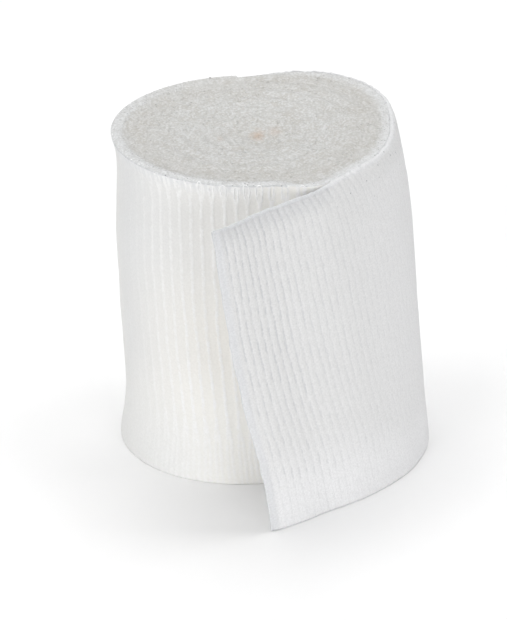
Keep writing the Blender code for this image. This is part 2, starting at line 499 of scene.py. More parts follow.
    def spiral_length(self, angle: np.ndarray) -> np.ndarray:
        """Length of cloth wound after an angle, from the step inwards."""
        return self.radius * (angle - angle**2 / (2.0 * TAU * self.turn_count))

    def even_radius(self, wound: np.ndarray, height: float) -> np.ndarray:
        """Radius of the wall without its step and flare, which whole turns follow."""
        level = np.full_like(wound, height)
        return self.outline(wound, level) - self.flared(wound, level) + self.thickness * wound / TAU

    def sunk(self, share: np.ndarray, radius: np.ndarray, wound: np.ndarray) -> np.ndarray:
        """How far the top lies below the roll's width.

        The dish from its table, plus a cosine groove that runs inwards on a
        spiral where groups of turns have slipped, fading at the middle.
        """
        dish = read_table(TOP_DISH, 1, np.clip(share, 0.0, 1.0)) * MM
        turn = radius / self.main_turn_pitch + wound / TAU
        groove = 0.5 - 0.5 * np.cos(TAU * turn)
        groove = groove * smooth_step(0.0, self.main_turn_fade, radius)
        return dish + self.main_turn_depth * groove


@dataclass
class RollWall:
    """The roll's ribbed wall: the outermost turn of cloth, seen from outside."""

    form: RollForm
    columns: int = 10
    rib_reach: float = 0.55 * MM
    leg_reach: float = 0.34 * MM
    top_split: float = 0.62 * MM
    base_split: float = 0.66 * MM
    base_round: float = 0.12 * MM
    front_angle: float = math.radians(-93.0)
    swell_height: float = 0.16 * MM
    hidden_depth: float = 6.0 * MM
    hidden_share: float = 0.9
    foot_share: float = 0.97
    foot_rise: float = 0.4
    bend_share: float = 0.995
    bend_rise: float = 0.06 * MM
    name: str = "roll_wall"

    def heights(self) -> np.ndarray:
        """Heights of the rows, closer together near both selvedges."""
        low = np.linspace(0.05, 14.0, 28, endpoint=False)
        middle = np.linspace(14.0, 68.0, 84, endpoint=False)
        high = np.linspace(68.0, (self.form.width - self.form.rim_drop) / MM - 0.02, 27)
        return np.concatenate((low, middle, high)) * MM

    def split_at(self, height: np.ndarray) -> np.ndarray:
        """Half the distance between a rib's two threads at a height."""
        over = self.top_split * smooth_step(73.0 * MM, 77.5 * MM, height)
        under = self.base_split * smooth_step(18.0 * MM, 8.0 * MM, height)
        return over + under

    def wander(self, rib: np.ndarray, height: np.ndarray) -> np.ndarray:
        """How far a rib strays sideways at a height, in metres."""
        slow = Drift(11).read(rib * 7.31, height / (7.0 * MM))
        quick = Drift(12).read(rib * 3.17, height / (2.2 * MM))
        return (0.20 * slow + 0.07 * quick) * MM

    def aside(self, rib_place: np.ndarray, height: np.ndarray) -> np.ndarray:
        """Distance from the middle of the nearest rib, or of its nearer thread."""
        rib = np.floor(rib_place)
        pitch = TAU * self.form.radius / self.form.rib_count
        offset = (rib_place - rib - 0.5) * pitch - self.wander(rib, height)
        return np.abs(np.abs(offset) - self.split_at(height))

    def crest(self, rib_place: np.ndarray, height: np.ndarray) -> np.ndarray:
        """How far up a rib's side a place is, from 0 beside it to 1 on it.

        The distance from the rib's middle line, or from the nearer of its two
        threads where they part, sets a soft flat-topped bell.
        """
        rib = np.floor(rib_place)
        parted = np.clip(self.split_at(height) / self.base_split, 0.0, 1.0)
        reach = self.rib_reach * (1.0 - parted) + self.leg_reach * parted
        swell = 1.0 + 0.25 * Drift(13).read(rib * 5.7, height / (2.5 * MM))
        bell = np.exp(-((self.aside(rib_place, height) / (reach * swell)) ** 2.4))
        return bell * (1.0 - 0.55 * parted)

    def facing(self, wound: np.ndarray) -> np.ndarray:
        """How nearly a place faces the stretched front, from 0 to 1."""
        return 0.5 + 0.5 * np.cos(self.form.leaving_angle + wound - self.front_angle)

    def clearness(self, wound: np.ndarray) -> np.ndarray:
        """How clearly the ribs show round the roll: best in front, a little at the back."""
        facing = self.facing(wound)
        front = 0.90 * smooth_step(0.71, 0.98, facing)
        return 0.10 + front + 0.25 * smooth_step(0.32, 0.12, facing)

    def build(self) -> bpy.types.Object:
        """Build the wall as rings of points, closed out of sight inside.

        Returns:
            The wall's object.  Its points keep how many millimetres they are
            aside from a thread, and the wall's tints.
        """
        form = self.form
        size = form.rib_count * self.columns
        rib_place = (np.arange(size) + 0.5) / self.columns
        rib_place[0] = 0.0
        rib_place[-1] = form.rib_count
        height = self.heights()[:, None]
        wound = TAU * rib_place / form.rib_count
        inside = np.minimum(rib_place, form.rib_count - 1e-6)
        crest = self.crest(inside, height)
        aside = self.aside(inside, height) / MM
        leaned = wound + form.lean(wound, height)
        rounding = self.base_round * np.clip(1.0 - height / (0.8 * MM), 0.0, 1.0) ** 2
        rise = form.rib_height * (1.0 + 0.2 * Drift(14).read(rib_place / 2.3, height / (9.0 * MM)))
        free = 1.0 - form.touching(leaned, height)
        free = free * smooth_step(79.2 * MM, 76.5 * MM, height)
        shown = self.clearness(leaned)
        swell = self.swell_height * Drift(15).read(rib_place / 4.0, height / (11.0 * MM))
        radius = form.outline(leaned, height) + (crest * rise * shown + swell) * free - rounding
        lower = (form.rim_fall(leaned) - form.rim_drop) * smooth_step(72.0 * MM, 79.2 * MM, height)
        rings = form.place(leaned, radius, height - lower)

        inner = self.hidden_depth
        first, last = rings[:1], rings[-1:]
        under = drawn_in(first, self.hidden_share, inner)
        foot = drawn_in(first, self.foot_share, self.foot_rise * first[..., 2])
        bend = drawn_in(last, self.bend_share, last[..., 2] + self.bend_rise)
        over = drawn_in(last, self.hidden_share, form.width - inner)
        rings = np.concatenate((under, foot, rings, bend, over))
        middle = np.array(((0.0, 0.0, inner), (0.0, 0.0, form.width - inner)))
        points = np.vstack((rings.reshape(-1, 3), middle))
        marks = {"aside": np.append(pad_rings(aside, 2, 2).ravel(), (1.5, 1.5))}
        marks.update(self.tints(points))
        return make_piece(self.name, points, ring_faces(len(rings), size), marks)

    def tints(self, points: np.ndarray) -> dict[str, np.ndarray]:
        """How the wall's look changes round it and up it.

        The stretched front is warm between its foot and its rim.  Painted light
        makes the foot lighter, most of all in front, for the light from the
        floor, and lightens the sides and a wedge high up where the loose cloth
        leaves the wall, to lift their shade.

        Args:
            points: One row of x, y, z for each point.

        Returns:
            How warm each point is, how much painted light it has and how
            clearly the ribs show there, by attribute name.
        """
        angle = np.arctan2(points[:, 1], points[:, 0])
        level = points[:, 2] / MM
        wound = angle - self.form.leaving_angle
        facing = self.facing(wound)
        warmth = facing**4 * (0.6 + 0.4 * smooth_step(62.0, 40.0, level))
        warmth = warmth * smooth_step(3.0, 24.0, level) * smooth_step(79.0, 75.0, level)
        clear = self.clearness(wound) * (0.55 + 0.45 * smooth_step(6.0, 20.0, level))
        # Painted light: a lighter foot for the light from the floor, and a lighter wedge beside the
        # loose cloth and lighter sides to lift their shade.
        degrees = np.degrees(angle)
        wedge = smooth_step(-96.0, -80.0, degrees) * smooth_step(-40.0, -55.0, degrees)
        wedge = wedge * smooth_step(56.0, 70.0, level)
        foot = 0.45 * smooth_step(34.0, 10.0, level)
        front_foot = facing**8 * smooth_step(36.0, 16.0, level)
        sides = 0.45 * smooth_step(0.74, 0.54, facing)
        painted_light = np.max((foot, front_foot, wedge, sides), axis=0)
        return {"warmth": warmth, "clear": clear, "painted_light": painted_light}


class EndFace(Enum):
    """Which end face of the roll a disc of wound selvedges is."""

    TOP = "roll_top"
    UNDERSIDE = "roll_underside"


@dataclass
class WoundFace:
    """An end face of the roll: the selvedges of its turns, side by side."""

    form: RollForm
    face: EndFace
    size: int = 504
    ring_count: int = 134
    loop_pitch: float = 1.2 * MM
    ridge_height: float = 0.15 * MM
    tuft_size: float = 0.75 * MM
    dull_share: float = 0.88
    dull_angle: float = 19.0
    back_angle: float = 102.0
    base_rim_drop: float = 0.06 * MM
    hem_depth: float = 0.4 * MM
    skirt_depth: float = 1.5 * MM
    hidden_depth: float = 6.5 * MM
    hidden_rings: int = 3

    def relief(self, share: np.ndarray, wound: np.ndarray) -> np.ndarray:
        """How high the wound selvedge stands at a place, from 0 to 1.

        Across a turn it is a low squared sine with its crest at the cloth's
        middle; along the cloth each yarn loop has a height of its own, and
        eases into its neighbours.  Tufts of fibre, which lie over the turns
        without any order, hide most of it.
        """
        form = self.form
        turn = (1.0 - share) * form.turn_count - wound / TAU
        number = np.floor(turn)
        length = form.spiral_length(TAU * number + wound) / self.loop_pitch
        tall = Drift(21).read(length, number * 17.3)
        ridge = np.sin(math.pi * (turn - number)) ** 2
        radius = share * form.radius / self.tuft_size
        east = radius * np.cos(wound)
        north = radius * np.sin(wound)
        mat = Drift(22).read(east, north) + 0.5 * Drift(23).read(1.9 * east, 1.9 * north)
        return np.clip(0.35 + 0.30 * ridge * (0.6 + 0.4 * tall) + 0.30 * mat, 0.0, 1.2)

    def height_of(self, share: np.ndarray, radius: np.ndarray, wound: np.ndarray) -> np.ndarray:
        """Height of the face's mean surface at a place."""
        if self.face is EndFace.TOP:
            return self.form.width - self.form.sunk(share, radius, wound)
        return 0.35 * self.form.sunk(share, radius, wound)

    def build(self) -> bpy.types.Object:
        """Build the face as rings from its hidden back over the rim inwards.

        Returns:
            The face's object.  Its points keep the relief and the tone of the
            selvedges, how near they are to the rim, and how surely they are
            on the top's outermost turns.
        """
        form = self.form
        is_top = self.face is EndFace.TOP
        level = form.width if is_top else 0.0
        share = np.linspace(1.0 if is_top else 0.985, 0.008, self.ring_count)[:, None]
        wound = TAU * np.arange(self.size) / self.size
        wound = wound + form.lean(wound, np.full_like(wound, level))
        even = form.even_radius(wound, level)
        edge = form.outline(wound, np.full_like(wound, level - form.rim_drop if is_top else level))
        radius = share * even + share**12 * (edge - even)
        true_share = radius / even
        relief = self.relief(true_share, wound)
        sign = 1.0 if is_top else -1.0
        rim = form.rim_way(wound, radius, edge)
        flat = level - sign * (form.rim_fall(wound) if is_top else self.base_rim_drop) * rim
        rise = self.height_of(true_share, radius, wound) - level
        rise = rise + sign * (relief - 0.5) * self.ridge_height
        height = np.maximum(flat + rise * (1.0 - rim), 0.0)
        rings = form.place(wound, radius, height)

        first = rings[:1]
        back_level = level - sign * self.hidden_depth
        hem = drawn_in(first, 0.998, first[..., 2] - sign * self.hem_depth)
        skirt = drawn_in(first, 0.985, level - sign * self.skirt_depth)
        back = drawn_in(first, 0.93, back_level)
        rings = np.concatenate((back, skirt, hem, rings))
        relief = pad_rings(relief, self.hidden_rings)
        tone = pad_rings(self.tone_of(true_share, wound), self.hidden_rings)
        outer = self.outermost(true_share) * (1.0 - 0.75 * self.at_back(wound))
        outer = pad_rings(outer, self.hidden_rings)
        rim = pad_rings(rim * (1.0 - 0.6 * self.at_back(wound)), self.hidden_rings)
        rim = np.maximum(rim, 0.6 * outer)
        middle_height = float(self.height_of(np.zeros(1), np.zeros(1), np.zeros(1))[0])
        middle = np.array(((0.0, 0.0, back_level), (0.0, 0.0, middle_height)))
        if not is_top:
            rings, middle = rings[::-1], middle[::-1]
            relief, tone, rim = relief[::-1], tone[::-1], rim[::-1]
            outer = np.zeros_like(outer)
        points = np.vstack((rings.reshape(-1, 3), middle))
        marks = {
            "crest": np.append(relief.ravel(), (0.0, 0.0)),
            "tone": np.append(tone.ravel(), (tone[0, 0], tone[-1, 0])),
            "rim": np.append(rim.ravel(), (0.0, 0.0)),
            "outer": np.append(outer.ravel(), (0.0, 0.0)),
        }
        return make_piece(self.face.value, points, ring_faces(len(rings), self.size), marks)

    def outermost(self, share: np.ndarray) -> np.ndarray:
        """How surely a place is on the outermost turns, from 0 to 1."""
        return smooth_step(0.900, 0.935, share)

    def at_back(self, wound: np.ndarray) -> np.ndarray:
        """How near a place is to the back, where the outer turns look plain."""
        angle = np.degrees(self.form.leaving_angle + wound) % 360.0
        return band(angle, self.back_angle, 42.0)

    def tone_of(self, share: np.ndarray, wound: np.ndarray) -> np.ndarray:
        """How light the selvedges look: the table, less one dull turn at the right."""
        tone = read_table(TOP_TONE, 1, np.clip(share, 0.0, 1.0))
        tone = tone - 0.75 * self.at_back(wound) * smooth_step(0.86, 0.93, share)
        around = band(self.form.turned(wound), self.dull_angle, 22.0)
        return tone - 0.9 * band(share, self.dull_share, 0.020) * around


@dataclass
class SelvedgeLoops:
    """Small loops of yarn that stand close together on the wound selvedges."""

    form: RollForm
    face: WoundFace
    spacing: float = 0.55 * MM
    points: int = 4
    sides: int = 5
    yarn_radius: float = 0.11 * MM
    half_width_mm: tuple[float, float] = (0.14, 0.30)
    tall_mm: tuple[float, float] = (0.04, 0.16)
    sunk: float = 0.10 * MM
    tip_spread: float = 0.55
    standing_share: float = 0.16
    standing_rise: float = 2.2
    name: str = "top_loops"

    def build(self) -> bpy.types.Object:
        """Build every loop as a small arch of yarn.

        A loop is half an ellipse that starts and ends inside the cloth.  It
        stands across or along its turn, is turned and tipped by a random
        amount, and has a width and a height of its own.

        Returns:
            The loops' object, with how high each point is on its loop, the
            tone of its place and how near the rim that is.
        """
        form = self.form
        draw = np.random.default_rng(31)
        whole = form.spiral_length(np.array(TAU * (form.turn_count - 0.9)))
        count = int(whole / self.spacing)
        length = (np.arange(count) + draw.uniform(-0.45, 0.45, count)) * self.spacing
        spiral = form.spiral_angle(np.clip(length, 0.0, whole))
        wound = np.mod(spiral, TAU)
        turn = np.floor(spiral / TAU) + draw.uniform(0.02, 1.0, count)
        even = form.even_radius(wound, form.width)
        share = 1.0 - (turn + wound / TAU) / form.turn_count
        share = np.clip(share, 0.005, 1.0)
        edge = form.outline(wound, np.full_like(wound, form.width - form.rim_drop))
        radius = np.minimum(share * even + share**12 * np.maximum(edge - even, 0.0), edge)
        rim = form.rim_way(wound, radius, edge)
        rise = self.face.height_of(share, radius, wound) - form.width
        height = form.width + rise * (1.0 - rim) - form.rim_fall(wound) * rim - self.sunk
        root = form.place(wound, radius, height)

        angle = draw.uniform(0.0, TAU, count)
        along = np.stack((np.cos(angle), np.sin(angle), np.zeros(count)), -1)
        across = np.stack((-np.sin(angle), np.cos(angle), np.zeros(count)), -1)
        tip = draw.normal(0.0, self.tip_spread, count)[:, None]
        upward = np.array((0.0, 0.0, 1.0)) * np.cos(tip) + across * np.sin(tip)
        half_width = draw.uniform(*self.half_width_mm, count)[:, None, None] * MM
        tall = draw.uniform(*self.tall_mm, count)[:, None, None] * MM
        standing = draw.uniform(0.0, 1.0, count) < self.standing_share
        standing = standing * smooth_step(0.95, 0.98, share)
        tall = tall * (1.0 + self.standing_rise * standing)[:, None, None]
        swing = np.linspace(math.radians(-30.0), math.radians(210.0), self.points)[:, None]
        paths = root[:, None] + along[:, None] * half_width * np.cos(swing)
        paths = paths + upward[:, None] * tall * np.sin(swing)
        normals = np.broadcast_to(np.cross(along, upward)[:, None], paths.shape)
        thick = self.yarn_radius * draw.uniform(0.75, 1.25, count)[:, None]
        radii = np.broadcast_to(thick, (count, self.points))
        points = tube_points(paths, normals, radii, self.sides)
        lifted = np.clip(np.sin(swing[:, 0]), 0.0, 1.0)
        light = np.maximum(rim, 0.6 * self.face.outermost(share))
        light = light * (1.0 - 0.7 * self.face.at_back(wound))
        each = self.points * self.sides
        marks = {
            "crest": np.repeat(np.tile(0.40 + 0.60 * lifted, count), self.sides),
            "tone": np.repeat(self.face.tone_of(share, wound), each),
            "rim": np.repeat(light, each),
            "outer": np.zeros(count * each),
        }
        return make_piece(self.name, points, tube_faces(count, self.points, self.sides), marks)


@dataclass
class RimLoops:
    """The hairpin turns of the rib threads at one selvedge of the wall."""

    form: RollForm
    wall: RollWall
    name: str
    at_top: bool
    points: int = 26
    sides: int = 6
    yarn_radius: float = 0.17 * MM
    reach_mm: tuple[float, float] = (3.4, 6.0)
    set_in: float = 0.08 * MM
    sink_depth: float = 0.20 * MM
    unclear_depth: float = 0.14 * MM
    leg_share: float = 0.78
    bend_stretch: float = 1.15

    def build(self) -> bpy.types.Object:
        """Build one hairpin for each rib.

        Each runs up one thread of its rib, round a half circle over the
        selvedge and down the other thread.  The two legs close in on each
        other away from the selvedge, and sink into the wall.

        Returns:
            The hairpins' object.
        """
        form = self.form
        draw = np.random.default_rng(41 if self.at_top else 43)
        rib = np.arange(form.rib_count)
        if self.at_top:
            rib = rib[form.beside(TAU * (rib + 0.5) / form.rib_count) < 0.1]
        count = len(rib)
        rib = rib[:, None]
        spread = self.wall.top_split if self.at_top else self.wall.base_split
        half = spread * draw.uniform(0.72, 1.22, count)[:, None]
        reach = draw.uniform(*self.reach_mm, count)[:, None] * MM
        tip_level = draw.uniform(0.0, 0.9, count)[:, None] * MM
        way = np.linspace(-1.0, 1.0, self.points)
        from_root = 1.0 - np.abs(way)
        on_leg = np.clip(from_root / self.leg_share, 0.0, 1.0)
        bend = np.clip((self.leg_share - from_root) / (self.leg_share - 1.0), 0.0, 1.0)
        turn = math.pi / 2.0 * bend
        narrow = 0.35 + 0.65 * smooth_step(0.0, 0.75, on_leg)
        sideways = np.sign(way) * half * narrow * np.cos(turn)
        bend_height = half * self.bend_stretch
        below = tip_level + bend_height + reach * (1.0 - on_leg) - bend_height * np.sin(turn)
        height = form.width - 0.25 * MM - below if self.at_top else below + 0.05 * MM
        lean_over = draw.normal(0.0, 0.22, count)[:, None] * MM * (0.3 + bend)
        middle = TAU * (rib + 0.5) / form.rib_count
        sideways = sideways + lean_over + self.wall.wander(rib.astype(float), height)
        wound = middle + form.lean(middle, height) + sideways / form.radius
        sunk = self.sink_depth * (1.0 - smooth_step(0.0, 0.5, on_leg))
        sunk = sunk + self.unclear_depth * (1.0 - self.wall.clearness(middle))
        inward = form.rim_inward(height) if self.at_top else 0.15 * MM * bend
        safe = np.clip(height, 0.0, form.width)
        radius = form.outline(wound, safe) - self.set_in - sunk - inward
        paths = form.place(wound, radius, height)
        angle = form.leaving_angle + wound
        normals = np.stack((np.cos(angle), np.sin(angle), np.zeros_like(angle)), -1)
        thick = self.yarn_radius * (1.0 - 0.25 * (1.0 - on_leg))
        radii = np.broadcast_to(thick, height.shape)
        points = tube_points(paths, normals, radii, self.sides)
        if not self.at_top:
            points[:, 2] = np.maximum(points[:, 2], 0.02 * MM)
        faces = tube_faces(count, self.points, self.sides)
        plain = np.zeros(len(points))
        clear = np.repeat(0.4 + 0.6 * self.wall.clearness(middle[:, 0]), self.points * self.sides)
        marks = {"aside": plain, "warmth": plain, "clear": clear, "painted_light": plain}
        return make_piece(self.name, points, faces, marks)


@dataclass
class LooseCloth:
    """The loosened last turn and its free end, one sheet of ribbed cloth."""

    form: RollForm
    width: float = 78.8 * MM
    rib_pitch: float = 1.88 * MM
    columns: int = 6
    joined_share: float = 0.13
    end_turn_start: float = 0.45
    base_lag: float = 0.03
    groove_place: float = 0.34
    groove_reach: float = 0.30 * MM
    groove_depth: float = 0.035 * MM
    roundness: float = 0.05 * MM
    raised: float = 0.45 * MM
    edge_rows: int = 4
    edge_rounding: float = 0.5 * MM
    shoulder: float = 1.3 * MM
    end_thinning: float = 0.42 * MM
    end_raise: float = 0.03 * MM
    end_wave: float = 0.22 * MM
    scallop: float = 0.05 * MM
    raggedness: float = 0.16 * MM
    rib_lean: float = 0.9 * MM
    flat: tuple[float, float] = (0.080, 0.136)
    name: str = "loose_cloth"

    @property
    def rib_count(self) -> int:
        """How many ribs lie side by side along the top edge."""
        return round(self.edge_path(TOP_EDGE)[1][-1] / self.rib_pitch)

    def edge_path(self, rows: Rows) -> tuple[np.ndarray, np.ndarray]:
        """Walk one edge of the cloth in plan: its points and the way so far."""
        angles = np.linspace(rows[0][0], rows[-1][0], 900)
        radius = read_table(rows, 1, angles) * MM
        plan = np.column_stack((np.cos(np.radians(angles)), np.sin(np.radians(angles))))
        plan = plan * radius[:, None]
        walked = np.concatenate(((0.0,), np.cumsum(np.hypot(*np.diff(plan, axis=0).T))))
        return plan, walked

    def path_at(self, path: tuple[np.ndarray, np.ndarray], places: np.ndarray) -> np.ndarray:
        """Plan points at shares of the way along a walked edge."""
        plan, walked = path
        along = places * walked[-1]
        return np.stack([np.interp(along, walked, plan[:, axis]) for axis in (0, 1)], -1)

    def shares(self) -> np.ndarray:
        """Shares of the width at which the rows lie, closer at both edges."""
        low = np.linspace(0.0, 0.17, 18, endpoint=False)
        middle = np.linspace(0.17, 0.84, 62, endpoint=False)
        high = np.linspace(0.84, 0.985, 20, endpoint=False)
        edge = np.array((0.985, 0.989, 0.993, 0.996, 0.998))
        return np.concatenate((low, middle, high, edge, np.ones(1 + self.edge_rows)))

    def centre_lines(self, places: np.ndarray, shares: np.ndarray) -> np.ndarray:
        """Plan of the cloth's outer face: rows up the width, places along it.

        Each row lies between the base line and the top line by the mix from
        the table, which turns from the roll's column to the free end's along
        the cloth, and its start is drawn in to the roll's wall.
        """
        top_line = self.path_at(self.edge_path(TOP_EDGE), places)
        lagging = places - self.base_lag * np.sin(math.pi * places)
        base_line = self.path_at(self.edge_path(BASE_EDGE), lagging)
        blend = smooth_step(self.end_turn_start, 1.0, places)
        joined = 1.0 - smooth_step(0.0, self.joined_share, places)
        around = read_table(LOOSE_WALL, 1, shares)[:, None]
        at_end = read_table(LOOSE_WALL, 2, shares)[:, None]
        mix = (around * (1.0 - blend) + at_end * blend)[:, :, None]
        lines = base_line * (1.0 - mix) + top_line * mix
        level = shares * self.width
        wall = self.form.outline(np.zeros_like(level), level) + self.form.rib_height
        stands_off = np.hypot(lines[:, 0, 0], lines[:, 0, 1]) - wall
        radial = lines / np.hypot(lines[:, :, 0], lines[:, :, 1])[:, :, None]
        return lines - radial * (stands_off[:, None] * joined)[:, :, None]

    def groove_offset(self, share: np.ndarray, rib_place: np.ndarray) -> np.ndarray:
        """Signed distance from the nearest groove, in metres.

        Every groove strays a little on its own, and all lean along the cloth.
        """
        rib = np.floor(rib_place)
        height = share * self.width
        wander = 0.14 * Drift(51).read(rib * 7.7, height / (8.0 * MM))
        wander = (wander + 0.10 * Drift(52).read(rib * 3.3, height / (1.4 * MM))) * MM
        wander = wander + self.rib_lean * (share - 0.55)
        offset = (rib_place - rib - self.groove_place) * self.rib_pitch - wander
        return offset - self.rib_pitch * np.round(offset / self.rib_pitch)

    def calm(self, share: np.ndarray) -> np.ndarray:
        """How clear of the lower selvedge a place is, from 0 to 1."""
        return smooth_step(0.11, 0.19, share)

    def slackness(self, rib_place: np.ndarray) -> np.ndarray:
        """How slack the cloth lies: most at its free end, a little more at its start."""
        from_end = self.rib_count - rib_place
        slack = 0.18 + 0.40 * smooth_step(26.0, 14.0, from_end)
        slack = slack + 0.44 * smooth_step(13.0, 7.0, from_end)
        return slack + 0.12 * smooth_step(22.0, 10.0, rib_place)

    def cut_strength(self, share: np.ndarray, rib_place: np.ndarray) -> np.ndarray:
        """How deeply the grooves are cut: more in slack cloth and towards its top."""
        upwards = 0.80 + 0.60 * smooth_step(0.90, 0.99, share)
        strength = self.slackness(rib_place) * upwards * (0.34 + 0.66 * self.calm(share))
        return strength * (0.72 + 0.28 * smooth_step(0.30, 0.50, share))

    def pits(self, share: np.ndarray, rib_place: np.ndarray, offset: np.ndarray) -> np.ndarray:
        """Where a groove ends in a small pit just below the upper selvedge, 0 to 1."""
        near_top = band(share * self.width, self.width - 0.9 * MM, 0.5 * MM)
        kept = 0.5 + 0.5 * Drift(54).read(np.floor(rib_place) * 2.9)
        return near_top * band(offset, 0.0, 0.36 * MM) * kept

    def sinking(self, share: np.ndarray, rib_place: np.ndarray, offset: np.ndarray) -> np.ndarray:
        """How far the outer face sinks below its mean surface.

        It sinks into the grooves, deeper and shallower in dashes, is rounded
        between them, and has pits near the top and a fine ripple at the foot.
        """
        height = share * self.width
        calm = self.calm(share)
        drawn = 0.55 + 0.75 * Drift(53).read(np.floor(rib_place) * 9.1, height / (1.25 * MM))
        dashes = np.clip(drawn, 0.1, 1.2)
        cut = band(offset, 0.0, self.groove_reach) * dashes * self.cut_strength(share, rib_place)
        beside = 1.0 - (0.5 - 0.5 * np.cos(TAU * offset / self.rib_pitch))
        falling = beside * self.roundness * self.slackness(rib_place) * calm
        ripple = 0.5 - 0.5 * np.cos(TAU * 2.0 * (rib_place - self.groove_place))
        sinking = cut * self.groove_depth + falling
        sinking = sinking + self.pits(share, rib_place, offset) * 0.25 * MM
        return sinking + ripple * 0.03 * (1.0 - calm) * MM

    def swelling(self, share: np.ndarray, rib_place: np.ndarray) -> np.ndarray:
        """How far the cloth's face swells out in soft, random waves."""
        height = share * self.width
        broad = 0.10 * MM * Drift(55).read(rib_place / 4.0, height / (9.0 * MM))
        return broad + 0.03 * MM * Drift(58).read(rib_place / 1.1, height / (1.7 * MM))

    def levels(self, share: np.ndarray, rib_place: np.ndarray) -> np.ndarray:
        """Height of each point: both selvedges are ragged, the upper one scalloped."""
        scallop = self.scallop * np.cos(TAU * (rib_place - self.groove_place - 0.5))
        ragged = self.raggedness * Drift(56).read(rib_place * 1.9)
        level = share * self.width + (scallop + ragged) * smooth_step(0.97, 1.0, share)
        return level + np.abs(ragged) * smooth_step(0.03, 0.0, share)

    def build(self) -> bpy.types.Object:
        """Build the sheet's outer and inner faces and close its four edges.

        Where the cloth hangs free, its inner face mirrors the outer one at
        less than half the depth.  Where it touches the roll, that face lies
        smooth and the upper selvedge is raised towards the roll's rim.  The
        two faces meet in a low dome over the upper selvedge.

        Returns:
            The sheet's object, with the cloth's tints kept on its points.
        """
        rib_count = self.rib_count
        size = rib_count * self.columns + 1
        rib_place = np.arange(size) / self.columns
        to_end = size - 1.0 - np.arange(size)
        shares = self.shares()
        lines = self.centre_lines(rib_place / rib_count, shares)
        heading = np.gradient(lines, axis=1)
        heading /= np.hypot(heading[:, :, 0], heading[:, :, 1])[:, :, None]
        outward = np.stack((-heading[:, :, 1], heading[:, :, 0]), -1)
        turned = np.degrees(np.arctan2(lines[:, :, 1], lines[:, :, 0]))

        share = shares[:, None]
        offset = self.groove_offset(share, rib_place)
        touches = smooth_step(-64.0, -56.0, turned)
        touches = touches * smooth_step(60.0 * MM, 66.0 * MM, share * self.width)
        end_line = smooth_step(9.0, 2.0, to_end)
        swell = self.swelling(share, rib_place) + self.end_raise * end_line
        from_edge = np.minimum(share, 1.0 - share) * self.width
        rounded = np.clip(1.0 - from_edge / self.edge_rounding, 0.0, 1.0)
        thinned = self.end_thinning * smooth_step(5.0, 0.0, to_end)
        face_in = self.sinking(share, rib_place, offset) - swell + 0.25 * MM * rounded**2 + thinned
        shoulder = np.clip(1.0 - (1.0 - share) * self.width / self.shoulder, 0.0, 1.0) ** 2
        face_in = face_in + 0.30 * MM * shoulder * touches
        back_in = self.form.thickness - (0.45 * face_in + 0.5 * thinned) * (1.0 - touches)
        lifted = self.raised * touches * smooth_step(0.93, 1.0, share)
        level = self.levels(share, rib_place) + lifted * smooth_step(96.0, 74.0, turned)

        over = np.zeros((len(shares), 1))
        over[-self.edge_rows:, 0] = np.arange(1, self.edge_rows + 1) / self.edge_rows
        meet = face_in + (back_in - face_in) * (0.50 + 0.47 * touches)
        dome = 0.16 * MM * (1.0 - (1.0 - over) ** 2) * (1.0 - touches)
        level = level + (dome + 0.06 * MM * over * touches)
        face_in = face_in + (meet - face_in) * over
        back_in = back_in + (meet + 0.01 * MM - back_in) * over
        pull = self.end_wave * Drift(57).read(share * 30.0) * end_line
        sides = []
        for inward in (face_in, back_in):
            plan = lines - outward * inward[:, :, None] + heading * pull[:, :, None]
            sides.append(np.concatenate((plan, level[:, :, None]), -1).reshape(-1, 3))

        tints = self.tints(share, rib_place, offset, turned)
        marks = {label: np.tile(values.ravel(), len(sides)) for label, values in tints.items()}
        return make_piece(self.name, np.vstack(sides), [self.faces(len(shares), size)], marks)

    def tints(
        self, share: np.ndarray, rib_place: np.ndarray, offset: np.ndarray, turned: np.ndarray
    ) -> dict[str, np.ndarray]:
        """How the cloth's look changes over it.

        Args:
            share: Share of the width, one row for each.
            rib_place: Ribs from the cloth's start, one column for each.
            offset: Signed distance from the nearest groove.
            turned: Angle round the roll, in degrees.

        Returns:
            How many millimetres each point is aside from a groove, how
            strongly the grooves are cut there, which sets their relief and
            their painted shade, with the pits' painted shade added, how much
            painted light it gets towards the lower selvedge and round the side,
            how much painted shade along the upper selvedge, how near it is to
            the free end, and where painted shade in pits may lie, by attribute
            name.
        """
        to_end = (rib_place[-1] - rib_place) * self.columns
        end_line = smooth_step(9.0, 2.0, to_end)
        strength = self.cut_strength(share, rib_place) * (1.0 - 0.5 * end_line)
        # Pits add to the grooves' mark, so to their relief and their painted shade.
        pits = 0.35 * self.pits(share, rib_place, offset) * (0.3 + self.slackness(rib_place))
        # lower: the rib made lighter towards the foot and round the side, as painted light.
        side = 0.65 * smooth_step(-62.0, -20.0, turned) * smooth_step(0.99, 0.93, share)
        # The band below the upper selvedge and its very edge are darkened as painted shade.
        hem = 0.5 * smooth_step(0.93, 0.99, share) * smooth_step(-54.0, -66.0, turned)
        beside_roll = smooth_step(0.87, 0.96, share) * smooth_step(-62.0, -52.0, turned)
        away = 0.8 * smooth_step(0.965, 0.985, share) * smooth_step(-52.0, -62.0, turned)
        return {
            "aside": np.abs(offset) / MM,
            "cut": np.clip(strength, 0.0, 1.3) + pits,
            "lower": np.maximum(smooth_step(0.30, 0.06, share), side),
            "painted_top_shade": hem + 0.5 * smooth_step(0.990, 0.998, share),
            "end": np.broadcast_to(end_line, offset.shape),
            "pitted": (beside_roll + away) * (1.0 - smooth_step(19.0, 7.0, to_end)),
        }

